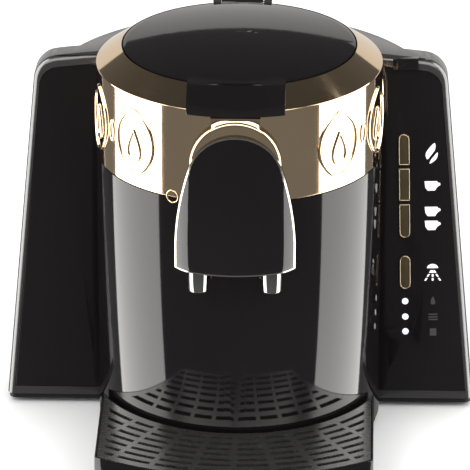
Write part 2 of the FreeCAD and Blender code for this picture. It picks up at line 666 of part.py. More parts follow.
# Spout
def hood_face(grow):
    """The hood's arch seen from the front, as a face at Y = 0."""
    arch_radius = 26.6
    centre_z = HOOD_TOP - arch_radius
    angle = math.radians(20)
    shoulder_x = arch_radius * math.cos(angle)
    shoulder_z = centre_z + arch_radius * math.sin(angle)
    half = HOOD_HALF + grow
    straight_z = HOOD_BOTTOM + 15
    middle = V(shoulder_x + 0.70 * (HOOD_HALF - shoulder_x) + grow, 0, (shoulder_z + straight_z) / 2)
    top = V(0, 0, HOOD_TOP + grow)
    right = V(shoulder_x + grow, 0, shoulder_z)
    low = V(half, 0, straight_z)
    corner = V(half, 0, HOOD_BOTTOM - grow)

    def flip(p):
        return V(-p.x, p.y, p.z)

    edges = [Part.Arc(flip(right), top, right).toShape(), Part.Arc(right, middle, low).toShape(),
             Part.makeLine(low, corner), Part.makeLine(corner, flip(corner)),
             Part.makeLine(flip(corner), flip(low)), Part.Arc(flip(low), flip(middle), flip(right)).toShape()]
    return Part.Face(Part.Wire(edges))


def hood_block(grow):
    face = hood_face(grow)
    face.translate(V(0, -FAR, 0))
    return face.extrude(V(0, FAR, 0))


def hood_bulge(inset):
    """The curved front of the hood, turned about an upright axis inside the column."""
    axis_y = -(HOOD_FRONT - HOOD_PLAN_RADIUS)
    low = V(HOOD_PLAN_RADIUS - inset, axis_y, HOOD_BOTTOM - 10)
    middle = V(HOOD_MID_PLAN - inset, axis_y, (HOOD_BOTTOM + HOOD_TOP) / 2)
    high = V(HOOD_TOP_PLAN - inset, axis_y, HOOD_TOP + 6)
    edges = [Part.Arc(low, middle, high).toShape(), Part.makeLine(high, V(0, axis_y, high.z)),
             Part.makeLine(V(0, axis_y, high.z), V(0, axis_y, low.z)), Part.makeLine(V(0, axis_y, low.z), low)]
    return Part.Face(Part.Wire(edges)).revolve(V(0, axis_y, 0), V(0, 0, 1), 360)


def make_hood():
    shell = hood_block(-TRIM_WIDTH * 0.25).common(hood_bulge(0))
    mouth = HOOD_HALF - HOOD_WALL
    hollow = hood_block(-HOOD_WALL).fuse(block(-mouth, mouth, -FAR, 0, HOOD_BOTTOM - 5, HOOD_BOTTOM + 15))
    hollow = hollow.common(hood_bulge(HOOD_WALL))
    shell = shell.cut(hollow).cut(cyl(COLUMN_RADIUS + 0.3, 0, FAR))
    shell = shell.cut(rod_y(BOSS_DISC_RADIUS + 0.3, -BOSS_FRONT - 0.3, 0, 0, BOSS_Z))
    return shell.cut(trim_ring(0.1))


def trim_ring(gap):
    ring = hood_block(TRIM_PROUD + gap).cut(hood_block(-TRIM_WIDTH - gap))
    return ring.common(hood_bulge(0.3 - gap)).cut(hood_bulge(0.3 + TRIM_DEPTH + gap))


def make_trim():
    trim = trim_ring(0).cut(cyl(COLUMN_RADIUS + 0.3, 0, FAR))
    return trim.cut(rod_y(BOSS_DISC_RADIUS + 0.3, -BOSS_FRONT - 0.3, 0, 0, BOSS_Z))


def make_boss():
    inside = 21 - COLUMN_RADIUS
    disc = rod_y(BOSS_DISC_RADIUS, -BOSS_FRONT, inside, 0, BOSS_Z)
    disc = disc.makeFillet(1.8, [e for e in disc.Edges if e.Closed and e.CenterOfMass.y < -BOSS_FRONT + 1])
    neck = block(-NECK_HALF, NECK_HALF, -BOSS_FRONT + 2, inside, BOSS_Z, NECK_TOP)
    return disc.fuse(neck).cut(cyl(COLUMN_RADIUS, 0, FAR)).removeSplitter()


def make_manifold():
    half = HOOD_HALF - HOOD_WALL - MANIFOLD_GAP
    body = block(-half, half, -FAR, PIPE_END_Y, MANIFOLD_BOTTOM, MANIFOLD_TOP)
    body = body.common(hood_bulge(HOOD_WALL + MANIFOLD_GAP))
    body = body.cut(rod_x(3, -NOZZLE_HALF_SPACING - 2.6, NOZZLE_HALF_SPACING + 2.6, NOZZLE_Y, PIPE_Z))
    body = body.cut(rod_y(PIPE_BORE, NOZZLE_Y, PIPE_END_Y + 3, 0, PIPE_Z))
    for side in (1, -1):
        body = body.cut(cyl(3, MANIFOLD_BOTTOM - 1, PIPE_Z, side * NOZZLE_HALF_SPACING, NOZZLE_Y))
    return body


def make_outlet_pipe():
    pipe = rod_y(PIPE_RADIUS, PIPE_END_Y, OUTLET_DROP_Y - 11, 0, PIPE_Z)
    return pipe.cut(rod_y(PIPE_BORE, PIPE_END_Y - 5, OUTLET_DROP_Y, 0, PIPE_Z))


def make_nozzles():
    nozzles = []
    for side in (1, -1):
        x = side * NOZZLE_HALF_SPACING
        body = tube(NOZZLE_RADIUS, 3.4, NOZZLE_BOTTOM, MANIFOLD_BOTTOM, x, NOZZLE_Y)
        nozzles.append(body)
    return Part.makeCompound(nozzles)


# Lid of the brewing chamber
def chamfer_height(radius, lift):
    """Height of the band's sloping top at a radius, raised by a clearance."""
    bore = LID_RADIUS + LID_GAP
    return LID_EDGE_Z + lift - (radius - bore) * CHAMFER_HEIGHT / (COLUMN_RADIUS - bore)


def under_chamfer(lift, outer):
    """Everything under the band's sloping top and out to a radius, with a clearance."""
    bore = LID_RADIUS + LID_GAP
    return turned([(0, 150), (0, LID_EDGE_Z + lift), (bore, LID_EDGE_Z + lift),
                   (outer, chamfer_height(outer, lift)), (outer, 150)])


def make_lid():
    edge = LID_EDGE_Z
    top = edge + LID_RISE
    low = edge - LID_SKIRT
    low_r = LID_RADIUS - LID_DRAFT
    inner_r = low_r - LID_SHELL
    inner_top = top - LID_SHELL
    inner_edge_z = edge - 1.2
    arc_out = Part.Arc(V(0, 0, top), V(LID_RADIUS / 2, 0, top - LID_RISE / 4), V(LID_RADIUS, 0, edge)).toShape()
    arc_in = Part.Arc(V(inner_r, 0, inner_edge_z),
                      V(inner_r / 2, 0, inner_top - (inner_top - inner_edge_z) / 4), V(0, 0, inner_top)).toShape()
    edges = [arc_out, Part.makeLine(V(LID_RADIUS, 0, edge), V(low_r, 0, low)),
             Part.makeLine(V(low_r, 0, low), V(inner_r, 0, low)),
             Part.makeLine(V(inner_r, 0, low), V(inner_r, 0, inner_edge_z)), arc_in,
             Part.makeLine(V(0, 0, inner_top), V(0, 0, top))]
    lid = Part.Face(Part.Wire(edges)).revolve(V(0, 0, 0), V(0, 0, 1), 360)
    front = COLUMN_RADIUS + TAB_GAP
    root = LID_RADIUS - 15.7
    tab = side_prism([(-root, edge - 0.4), (-root, edge + 0.9), (-root - 12, edge + 0.85), (-root - 16.5, edge + 0.5),
                      (-TAB_FRONT - 4, TAB_LIP_TOP - 1.5), (-TAB_FRONT - 4, TAB_LIP_BOTTOM),
                      (-root - 5, TAB_LIP_BOTTOM)], -TAB_HALF, TAB_HALF)
    tab = tab.common(cyl(TAB_FRONT, 0, FAR))
    tab = tab.cut(under_chamfer(TAB_GAP, front).cut(cyl(LID_RADIUS - 0.4, edge - 1.0, FAR)))
    lid = lid.fuse(tab)
    wall_middle = low_r - 1.1
    web = side_prism([(LID_AXIS_Y, LID_AXIS_Z + KNUCKLE_RADIUS), (wall_middle, edge + 0.1), (wall_middle, edge - 1.5),
                      (LID_AXIS_Y - 1.6, LID_AXIS_Z - KNUCKLE_RADIUS + 0.5)], -KNUCKLE_HALF, KNUCKLE_HALF)
    knuckle = rod_x(KNUCKLE_RADIUS, -KNUCKLE_HALF, KNUCKLE_HALF, LID_AXIS_Y, LID_AXIS_Z)
    lid = lid.fuse([web, knuckle])
    return lid.cut(rod_x(LID_PIN_RADIUS + PIN_CLEARANCE, -40, 40, LID_AXIS_Y, LID_AXIS_Z))


def make_hinge_bracket():
    """Two ears on a foot that stands in the notch of the band."""
    inner = KNUCKLE_HALF + EAR_GAP
    outer = inner + EAR_THICK
    front = LID_AXIS_Y - KNUCKLE_RADIUS + 0.6
    back = LID_AXIS_Y + KNUCKLE_RADIUS
    foot_top = LID_AXIS_Z - KNUCKLE_RADIUS - EAR_GAP
    bracket = block(-outer, outer, front, back, RECESS_FLOOR, foot_top)
    for side in (1, -1):
        x0, x1 = sorted((side * inner, side * outer))
        ear = rod_x(KNUCKLE_RADIUS, x0, x1, LID_AXIS_Y, LID_AXIS_Z)
        bracket = bracket.fuse(ear.fuse(block(x0, x1, front, back, foot_top - 1, LID_AXIS_Z)))
    bracket = bracket.cut(make_band())
    return bracket.cut(rod_x(LID_PIN_RADIUS, -FAR, FAR, LID_AXIS_Y, LID_AXIS_Z)).removeSplitter()


def make_lid_pin():
    reach = KNUCKLE_HALF + EAR_GAP + EAR_THICK
    return rod_x(LID_PIN_RADIUS, -reach, reach, LID_AXIS_Y, LID_AXIS_Z)


def make_lid_liner():
    disc = cyl(RIM_RADIUS - 1, RECESS_FLOOR + 1.6, RECESS_FLOOR + 3.6)
    wall = tube(RIM_RADIUS - 2.5, RIM_RADIUS - 4.5, RECESS_FLOOR + 3.6, LID_EDGE_Z + 0.2 - 1.8)
    return disc.fuse(wall).removeSplitter()


def make_lid_gasket():
    return tube(RIM_RADIUS - 1.5, CHAMBER_RADIUS - 2, RIM_TOP + 0.3, RECESS_FLOOR + 1.6)


def make_lid_magnet():
    return cyl(3, RECESS_FLOOR + 3.6, RECESS_FLOOR + 6.6, 20, 13 - RIM_RADIUS)


def make_lid_switch():
    return block(18, 26, -RIM_RADIUS - 2.5, 3 - RIM_RADIUS, RECESS_FLOOR, RECESS_FLOOR + 1.0).fuse(
        block(19, 25, -RIM_RADIUS - 3, 0.2 - RIM_RADIUS, RECESS_FLOOR, RECESS_FLOOR + 3))


def make_foam_sensor():
    return block(-4, 4, -RIM_RADIUS - 6, -RIM_RADIUS - 0.6, RECESS_FLOOR, RECESS_FLOOR + 4)


# Drip tray and grille
def tray_outline(inset, z0, z1):
    shape = cyl(TRAY_REACH - inset, z0, z1).common(
        block(-TRAY_HALF + inset, TRAY_HALF - inset, -FAR, -20.0, z0, z1))
    return shape.cut(cyl(COLUMN_RADIUS + TRAY_COLUMN_GAP + inset, z0 - 1, z1 + 1))


def make_tray():
    low = BASE_TOP + TRAY_LIFT_GAP
    tray = tray_outline(0, low, TRAY_TOP).cut(tray_outline(TRAY_WALL, low + TRAY_FLOOR, TRAY_TOP + 1))
    step = TRAY_TOP - GRILLE_THICK
    return tray.cut(tray_outline(GRILLE_LEDGE, step, TRAY_TOP + 1))


def make_grille():
    low = TRAY_TOP - GRILLE_THICK + 0.3
    inset = GRILLE_LEDGE + GRILLE_GAP
    plate = tray_outline(inset, low, low + GRILLE_THICK)
    first = COLUMN_RADIUS + TRAY_COLUMN_GAP + inset + 5
    rings = []
    radius = first
    while radius + SLOT_WIDTH < TRAY_REACH - inset - 4:
        rings.append(tube(radius + SLOT_WIDTH, radius, low - 1, low + GRILLE_THICK + 1))
        radius += SLOT_PITCH
    slots = Part.makeCompound(rings).common(tray_outline(inset + 4, low - 1, low + GRILLE_THICK + 1))
    for degrees in range(-40, 41, 10):
        rib = block(-1.5, 1.5, -FAR, 0, low - 2, low + GRILLE_THICK + 2)
        rib.rotate(V(0, 0, 0), V(0, 0, 1), degrees)
        slots = slots.cut(rib)
    return plate.cut(slots)


# Pump, hoses and boards
def hose(points, radius, bore):
    """A hose along straight runs joined by tangent arcs."""
    pts = [V(*p) for p in points]
    edges = []
    start = pts[0]
    for before, here, after in zip(pts, pts[1:], pts[2:]):
        run_in, run_out = (here - before), (after - here)
        turn = run_in.getAngle(run_out)
        bend = 0.45 * min(run_in.Length, run_out.Length) / math.tan(turn / 2)
        reach = bend * math.tan(turn / 2)
        u_in = V(run_in).normalize()
        u_out = V(run_out).normalize()
        p_in = here - u_in * reach
        p_out = here + u_out * reach
        bisector = (u_out - u_in).normalize()
        mid = here + bisector * (bend / math.cos(turn / 2) - bend)
        edges.append(Part.makeLine(start, p_in))
        edges.append(Part.Arc(p_in, mid, p_out).toShape())
        start = p_out
    edges.append(Part.makeLine(start, pts[-1]))
    path = Part.Wire(edges)
    along = (pts[1] - pts[0]).normalize()

    def sweep(r):
        ring = Part.Wire(Part.makeCircle(r, pts[0], along))
        return path.makePipeShell([ring], True, False)

    return sweep(radius).cut(sweep(bore))


def make_suction_hose():
    start_y = OUTLET_Y - SPIGOT_RADIUS - SOCKET_GAP - SOCKET_WALL
    return hose([(0, start_y, SUCTION_Z), (0, start_y - 20, SUCTION_Z), (-10, 44, SUCTION_Z),
                 (-24, 26, SUCTION_Z - 2), (PUMP_X, PUMP_Y + 1, SUCTION_Z - 5)], HOSE_RADIUS, HOSE_BORE)


def make_pump():
    body = cyl(PUMP_RADIUS, PUMP_BOTTOM, PUMP_TOP - 8, PUMP_X, PUMP_Y)
    body = body.fuse(cyl(PUMP_RADIUS - 4, PUMP_TOP - 8, PUMP_TOP, PUMP_X, PUMP_Y))
    yoke = block(PUMP_X - 18, PUMP_X + 18, PUMP_Y - 10, PUMP_Y + 10, PUMP_BOTTOM + 10, PUMP_BOTTOM + 34)
    return body.fuse(yoke).removeSplitter()


def make_pump_mounts():
    mounts = [cyl(4, BASE_TOP, PUMP_BOTTOM, PUMP_X + dx, PUMP_Y + dy)
              for dx, dy in ((-9, -8), (9, -8), (-9, 8))]
    return Part.makeCompound(mounts)


def make_pressure_hose():
    return hose([(PUMP_X, PUMP_Y, PUMP_TOP), (PUMP_X, PUMP_Y, PUMP_TOP + 14), (PUMP_X, PUMP_Y + 20, PUMP_TOP + 34),
                 (PUMP_X, HOSE_TOP_Y, PUMP_TOP + 60), (PUMP_X, HOSE_TOP_Y, RIM_BOTTOM - 4)], HOSE_RADIUS, HOSE_BORE)


def make_water_inlet():
    """Elbow that lets the water in over the chamber's rim."""
    low = RIM_BOTTOM - 3.8
    post = tube(HOSE_RADIUS, HOSE_BORE, low, RECESS_FLOOR + 1.4, PUMP_X, HOSE_TOP_Y)
    return post


def make_main_board():
    """Board with its transformer and three capacitors, on the left wing's outer wall."""
    face = MAIN_BOARD_X + BOARD_THICK
    board = block(MAIN_BOARD_X, face, MAIN_BOARD_Y, MAIN_BOARD_Y + MAIN_BOARD_WIDTH, 84, 166)
    board = board.fuse(block(face - 0.1, face + 12.4, MAIN_BOARD_Y + 0.5, MAIN_BOARD_Y + 14.5, 90, 112))
    for z in (122, 136, 150):
        can = Part.makeCylinder(5, 14, V(face - 0.1, MAIN_BOARD_Y + 7.5, z), V(1, 0, 0))
        board = board.fuse(can)
    return board


# Rear switch and inlet
def make_switch_housing():
    frame = block(SWITCH_X - 8.5, SWITCH_X + 8.5, WING_REAR, WING_REAR + 1.5, SWITCH_Z - 12.5, SWITCH_Z + 12.5)
    case = block(SWITCH_X - 7, SWITCH_X + 7, WING_REAR - 16, WING_REAR + 0.5, SWITCH_Z - 11, SWITCH_Z + 11)
    hole = block(SWITCH_X - SWITCH_MOUTH, SWITCH_X + SWITCH_MOUTH, WING_REAR - 9, WING_REAR + 5, SWITCH_Z - 9.6,
                 SWITCH_Z + 9.6)
    reach = PIVOT_REACH + PIVOT_GAP
    pivots = rod_x(PIVOT_RADIUS + PIVOT_GAP, SWITCH_X - reach, SWITCH_X + reach, ROCKER_AXIS_Y, SWITCH_Z)
    return frame.fuse(case).cut(hole).cut(pivots).removeSplitter()


def make_rocker():
    rocker = side_prism([(WING_REAR - 3, SWITCH_Z - 8.4), (WING_REAR + 1.8, SWITCH_Z - 8.8),
                         (WING_REAR + 0.6, SWITCH_Z), (WING_REAR + 1.8, SWITCH_Z + 8.8),
                         (WING_REAR - 3, SWITCH_Z + 8.4), (WING_REAR - 5.5, SWITCH_Z)], SWITCH_X - 5.3, SWITCH_X + 5.3)
    rocker.rotate(V(SWITCH_X, ROCKER_AXIS_Y, SWITCH_Z), V(1, 0, 0), -ROCKER_TILT)
    pivots = rod_x(PIVOT_RADIUS, SWITCH_X - PIVOT_REACH, SWITCH_X + PIVOT_REACH, ROCKER_AXIS_Y, SWITCH_Z)
    return rocker.fuse(pivots)


def make_inlet():
    inlet = rod_y(6, WING_REAR - 8, WING_REAR, SWITCH_X, INLET_Z)
    inlet = inlet.fuse(rod_y(8, WING_REAR, WING_REAR + 3, SWITCH_X, INLET_Z))
    return inlet.cut(rod_y(3.2, WING_REAR - 9, WING_REAR + 4, SWITCH_X, INLET_Z))


def build():
    form = outer_form()
    pieces = {
        "base_plate": make_base(), "rubber_feet": make_feet(), "base_screws": make_screws(),
        "front_column": make_column(), "gold_band": make_band(), "chamber_carrier": make_carrier(),
        "wing_housing": make_housing(form), "left_fascia": make_fascia(-1), "right_fascia": make_fascia(1),
        "indicator_lamps": make_lamps(), "panel_board": make_panel_board(), "push_switches": make_push_switches(),
        "tank_lid": make_cap(form), "thumb_tab": make_thumb_tab(form), "water_tank": make_tank(form),
        "tank_lid_pin": make_cap_pin(), "tank_outlet": make_outlet(), "tank_poppet": make_poppet(),
        "poppet_spring": make_poppet_spring(), "tank_filter": make_filter(), "tank_socket": make_socket(),
        "brew_chamber": make_chamber(), "heater_plate": make_heater(), "thermal_cutout": make_thermal_cutout(),
        "temperature_sensor": make_temperature_sensor(), "outlet_seal": make_stub_seal(),
        "valve_body": make_valve_body(), "valve_coil": make_valve_coil(), "valve_plunger": make_valve_plunger(),
        "valve_spring": make_valve_spring(), "valve_post": make_valve_bracket(),
        "spout_hood": make_hood(), "hood_trim": make_trim(), "spout_boss": make_boss(),
        "spout_manifold": make_manifold(), "outlet_pipe": make_outlet_pipe(), "spout_nozzles": make_nozzles(),
        "brew_lid": make_lid(), "lid_hinge_bracket": make_hinge_bracket(), "lid_hinge_pin": make_lid_pin(),
        "lid_liner": make_lid_liner(), "lid_gasket": make_lid_gasket(), "lid_magnet": make_lid_magnet(),
        "lid_switch": make_lid_switch(), "foam_sensor": make_foam_sensor(),
        "drip_tray": make_tray(), "drip_grille": make_grille(),
        "pump_body": make_pump(), "pump_mounts": make_pump_mounts(), "suction_hose": make_suction_hose(),
        "pressure_hose": make_pressure_hose(), "water_inlet": make_water_inlet(), "main_board": make_main_board(),
        "switch_housing": make_switch_housing(), "power_rocker": make_rocker(), "mains_inlet": make_inlet(),
    }
    for name in BUTTON_SPANS:
        pieces[name] = make_button(name)
    return pieces


os.makedirs("parts", exist_ok=True)
for name, shape in build().items():
    moved = shape.copy()
    moved.translate(V(0, COLUMN_Y, 0))
    print(name, len(moved.Solids), moved.isValid(), round(moved.Volume))
    moved.exportStep("parts/" + name + ".step")
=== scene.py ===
import bpy
import bmesh
import json
import math
from mathutils import Matrix, Vector


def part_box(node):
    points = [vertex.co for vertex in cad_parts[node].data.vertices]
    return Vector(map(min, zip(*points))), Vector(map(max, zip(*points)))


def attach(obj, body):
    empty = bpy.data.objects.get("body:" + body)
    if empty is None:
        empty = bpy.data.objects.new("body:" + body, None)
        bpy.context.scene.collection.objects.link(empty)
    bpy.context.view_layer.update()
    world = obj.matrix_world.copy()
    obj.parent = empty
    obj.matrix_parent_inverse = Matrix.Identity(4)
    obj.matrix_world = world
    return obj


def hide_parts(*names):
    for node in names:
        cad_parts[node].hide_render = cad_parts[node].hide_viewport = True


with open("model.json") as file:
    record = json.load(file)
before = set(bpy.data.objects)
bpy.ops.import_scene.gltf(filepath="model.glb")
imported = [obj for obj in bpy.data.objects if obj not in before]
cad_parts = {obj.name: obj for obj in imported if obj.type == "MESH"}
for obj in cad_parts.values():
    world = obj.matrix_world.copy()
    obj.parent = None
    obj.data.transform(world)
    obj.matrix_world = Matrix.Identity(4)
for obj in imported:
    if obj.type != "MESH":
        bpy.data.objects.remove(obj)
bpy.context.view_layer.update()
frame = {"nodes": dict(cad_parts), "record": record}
NODES = frame["nodes"]

# Sizes in metres, from the frame where a piece gives them and otherwise as the solids were drawn
MM = 0.001
BAND_LO, BAND_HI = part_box("gold_band")
COLUMN_LO, COLUMN_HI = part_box("front_column")
BRACKET_LO, BRACKET_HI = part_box("lid_hinge_bracket")
AXIS_Y = (BAND_LO.y + BAND_HI.y) / 2
COLUMN_R = (COLUMN_HI.x - COLUMN_LO.x) / 2
BAND_TOP_EDGE = 220 * MM
BORE_R = 66.5 * MM
BORE_DEPTH = 2.4 * MM
BAND_WALL = 2 * MM
BAND_EDGE = 0.35 * MM
NOTCH_GAP = 0.2 * MM
NOTCH_LOW = 224.2 * MM
NOTCH_BACK = AXIS_Y + 73.2 * MM
HOOD_ROLL_START = 23 * MM
HOOD_ROLL_RUN = 10 * MM
HOOD_ROLL_DEPTH = 3.4 * MM
HOOD_BACK_Y = AXIS_Y - 77 * MM
HOOD_FRONT_RUN = 14 * MM
RIM_INSET = 0.45 * MM
RIM_OUT = 0.8 * MM
RIM_RADIUS = 0.34 * MM
SIGN_HALF_DEPTH = 0.075 * MM
SIGN_OUT = 0.025 * MM
FACE_LEAN = math.atan(17.0 / 202.0)
FACE_FOOT = Vector((0, AXIS_Y + 10 * MM, 6 * MM))
KEY_TILT = math.radians(1.2)
KEY_X = 94.6 * MM
KEY_MID_Z = 114.2 * MM
KEY_HALF = 3.25 * MM
ICON_X = 110.6 * MM


# Shader building
class Value:
    """A number that a shader works out, so that maths reads as plain expressions."""

    def __init__(self, build, socket):
        self.build = build
        self.socket = socket

    def _maths(self, operation, first, second):
        return self.build.add("ShaderNodeMath", {"operation": operation}, [first, second])

    def __add__(self, other):
        return self._maths("ADD", self, other)

    def __radd__(self, other):
        return self._maths("ADD", other, self)

    def __mul__(self, other):
        return self._maths("MULTIPLY", self, other)


class Finish:
    """One material under construction."""

    def __init__(self, name):
        self.material = bpy.data.materials.new(name)
        self.material.use_nodes = True
        self.tree = self.material.node_tree
        self.shader = self.tree.nodes["Principled BSDF"]
        self.coords = self.tree.nodes.new("ShaderNodeTexCoord").outputs["Object"]

    def put(self, socket, value):
        if isinstance(value, Value):
            value = value.socket
        if isinstance(value, bpy.types.NodeSocket):
            self.tree.links.new(value, socket)
        elif value is not None:
            socket.default_value = value

    def add(self, kind, settings, inputs, output=0):
        node = self.tree.nodes.new(kind)
        for key, setting in settings.items():
            setattr(node, key, setting)
        pairs = inputs.items() if isinstance(inputs, dict) else enumerate(inputs)
        for key, value in pairs:
            self.put(node.inputs[key], value)
        return Value(self, node.outputs[output])

    def noise(self, scale, detail=2.0, stretch=(1, 1, 1)):
        place = self.add("ShaderNodeMapping", {}, {"Vector": self.coords, "Scale": stretch}, "Vector")
        return self.add("ShaderNodeTexNoise", {}, {"Vector": place, "Scale": scale, "Detail": detail})

    def bump(self, height, strength, distance):
        made = self.add("ShaderNodeBump", {}, {"Height": height, "Strength": strength, "Distance": distance})
        self.put(self.shader.inputs["Normal"], made)

    def set(self, **values):
        for key, value in values.items():
            self.put(self.shader.inputs[key.replace("_", " ")], value)
        return self


def colour_between(finish, factor, dark, light):
    """A colour that the factor moves from dark to light. Sockets 6 and 7 are the node's colour inputs."""
    inputs = {"Factor": factor, 6: (*dark, 1), 7: (*light, 1)}
    return finish.add("ShaderNodeMix", {"data_type": "RGBA"}, inputs, 2)


def gloss_black():
    f = Finish("gloss_black")
    cloud = f.noise(14.0, 3.0)
    f.set(Base_Color=colour_between(f, cloud, (0.0045, 0.0036, 0.0040), (0.0080, 0.0066, 0.0072)),
          Roughness=0.045 + cloud * 0.03, IOR=1.43)
    f.bump(f.noise(60.0, 1.0), 0.03, 0.0002)
    return f.material


def satin_black():
    f = Finish("satin_black")
    cloud = f.noise(16.0, 3.0)
    f.set(Base_Color=colour_between(f, cloud, (0.020, 0.018, 0.018), (0.030, 0.027, 0.027)),
          Roughness=0.20 + cloud * 0.06, IOR=1.9)
    f.bump(f.noise(800.0, 2.0), 0.05, 0.00005)
    return f.material


def matte_black(name="matte_black", low=(0.008, 0.008, 0.0085), high=(0.016, 0.016, 0.017), rough=0.5):
    f = Finish(name)
    f.set(Specular_IOR_Level=0.2)
    grain = f.noise(900.0, 2.0)
    f.set(Base_Color=colour_between(f, f.noise(20.0), low, high), Roughness=rough + grain * 0.16)
    f.bump(grain, 0.25, 0.0001)
    return f.material


def rose_gold():
    f = Finish("rose_gold")
    cloud = f.noise(22.0, 3.0)
    f.set(Base_Color=colour_between(f, cloud, (0.76, 0.56, 0.36), (0.86, 0.67, 0.46)), Metallic=1.0,
          Roughness=0.05 + cloud * 0.05)
    f.bump(f.noise(45.0, 1.0), 0.02, 0.0003)
    return f.material


def bright_metal(name, colour, rough, streak=(1, 1, 1), metal=1.0):
    f = Finish(name)
    lines = f.noise(240.0, 2.0, streak)
    low = tuple(c * 0.86 for c in colour)
    f.set(Base_Color=colour_between(f, lines, low, colour), Metallic=metal, Roughness=rough + lines * 0.08)
    f.bump(lines, 0.06, 0.00005)
    return f.material


def key_bronze():
    f = Finish("key_bronze")
    grain = f.noise(1500.0, 2.0)
    f.set(Base_Color=colour_between(f, f.noise(90.0), (0.058, 0.041, 0.017), (0.088, 0.063, 0.028)),
          Metallic=0.35, Roughness=0.34 + grain * 0.12)
    f.bump(grain, 0.12, 0.00005)
    return f.material


def printed(name, colour, glow):
    f = Finish(name)
    tone = f.noise(400.0)
    f.set(Base_Color=colour_between(f, tone, tuple(c * 0.92 for c in colour), colour), Roughness=0.45,
          Emission_Color=(*colour, 1), Emission_Strength=glow)
    return f.material


def smoked():
    f = Finish("smoked_tank")
    cloud = f.noise(18.0)
    f.set(Base_Color=colour_between(f, cloud, (0.035, 0.034, 0.036), (0.06, 0.058, 0.06)),
          Roughness=0.06 + cloud * 0.05, Alpha=0.72, IOR=1.49)
    return f.material


def board_green():
    f = Finish("circuit_board")
    cells = f.noise(700.0)
    f.set(Base_Color=colour_between(f, cells, (0.01, 0.10, 0.04), (0.03, 0.2, 0.09)),
          Roughness=0.35 + cells * 0.2)
    return f.material


def rubber(name, low, high):
    f = Finish(name)
    grain = f.noise(700.0)
    f.set(Base_Color=colour_between(f, grain, low, high), Roughness=0.6 + grain * 0.2)
    f.bump(grain, 0.2, 0.0001)
    return f.material


BLACK = gloss_black()
SATIN = satin_black()
MATTE = matte_black()
GREY = matte_black("grey_plastic", (0.25, 0.25, 0.255), (0.36, 0.36, 0.37), 0.4)
GOLD = rose_gold()
TRIM = bright_metal("bright_trim", (0.60, 0.56, 0.50), 0.12)
CHROME = bright_metal("chrome", (0.36, 0.355, 0.35), 0.05)
STEEL = bright_metal("steel", (0.62, 0.62, 0.61), 0.22, (1, 12, 1))
BRONZE = key_bronze()
OUTLINE = bright_metal("key_outline", (0.72, 0.60, 0.42), 0.2)
WHITE = printed("icon_white", (0.92, 0.92, 0.93), 0.35)
DIM = printed("icon_dim", (0.055, 0.052, 0.052), 0.0)
LAMP = printed("lamp_white", (0.86, 0.88, 0.92), 0.5)
TANK = smoked()
BOARD = board_green()
RUBBER = rubber("rubber", (0.012, 0.012, 0.012), (0.026, 0.026, 0.026))
HOSE = rubber("hose", (0.6, 0.59, 0.56), (0.74, 0.73, 0.7))

# Nodes that keep their own mesh, by material
PLAIN_NODES = {
    "matte": (MATTE, ["base_plate", "lid_hinge_bracket", "spout_manifold", "switch_housing",
                      "power_rocker", "mains_inlet", "chamber_carrier"]),
    "steel": (STEEL, ["brew_chamber", "base_screws", "lid_hinge_pin", "tank_lid_pin", "heater_plate",
                      "valve_plunger", "poppet_spring", "valve_spring", "temperature_sensor",
                      "thermal_cutout"]),
    "rubber": (RUBBER, ["rubber_feet", "pump_mounts", "outlet_seal", "lid_gasket"]),
    "grey": (GREY, ["tank_outlet", "tank_poppet", "tank_filter", "tank_socket", "valve_body", "valve_coil",
                    "valve_post", "lid_liner", "lid_switch", "foam_sensor", "pump_body", "outlet_pipe",
                    "water_inlet", "lid_magnet", "push_switches"]),
    "hose": (HOSE, ["suction_hose", "pressure_hose"]),
    "board": (BOARD, ["main_board", "panel_board"]),
    "lamp": (LAMP, ["indicator_lamps"]),
}
# Nodes that a softened copy replaces, with its material and the width of its bevel in millimetres
SMOOTH_NODES = {
    "front_column": (BLACK, 0.3), "left_fascia": (BLACK, 0.35), "right_fascia": (BLACK, 0.35),
    "wing_housing": (SATIN, 0.3), "brew_lid": (BLACK, 0.5), "spout_hood": (BLACK, 0.3),
    "tank_lid": (SATIN, 0.3), "thumb_tab": (BLACK, 0.3), "drip_tray": (BLACK, 0.5),
    "hood_trim": (TRIM, 0.0), "spout_boss": (GOLD, 0.0),
    "spout_nozzles": (CHROME, 0.4), "drip_grille": (STEEL, 0.0), "water_tank": (TANK, 0.0),
    "button_ember": (BRONZE, 0.3), "button_single": (BRONZE, 0.3), "button_double": (BRONZE, 0.3),
    "button_clean": (BRONZE, 0.3),
}


def finish_piece(obj, material, body):
    """Gives a finished piece its material and its body."""
    obj.data.materials.clear()
    obj.data.materials.append(material)
    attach(obj, body)
    return obj


def only(obj):
    """Selects one object alone and makes it the active one."""
    bpy.ops.object.select_all(action="DESELECT")
    obj.select_set(True)
    bpy.context.view_layer.objects.active = obj


def smooth(obj):
    only(obj)
    bpy.ops.object.shade_smooth_by_angle(angle=math.radians(32))


def body_of_node(node):
    for body, members in frame["record"]["behaviour"]["bodies"].items():
        if node in members:
            return body
    return None


def refined(node, material, bevel_mm):
    """A welded copy of a node with softened edges and smooth shading, which takes the node's place."""
    mesh = NODES[node].data.copy()
    obj = bpy.data.objects.new(node + "_shell", mesh)
    bpy.context.scene.collection.objects.link(obj)
    work = bmesh.new()
    work.from_mesh(mesh)
    bmesh.ops.remove_doubles(work, verts=work.verts, dist=0.00001)
    bmesh.ops.dissolve_limit(work, angle_limit=math.radians(0.4), verts=work.verts, edges=work.edges)
    work.to_mesh(mesh)
    work.free()
    if bevel_mm > 0:
        only(obj)
        soften = obj.modifiers.new("soften", "BEVEL")
        soften.width = bevel_mm * MM
        soften.segments = 2
        soften.limit_method = "ANGLE"
        soften.angle_limit = math.radians(50)
        bpy.ops.object.modifier_apply(modifier="soften")
    smooth(obj)
    finish_piece(obj, material, body_of_node(node))
    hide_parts(node)
    return obj


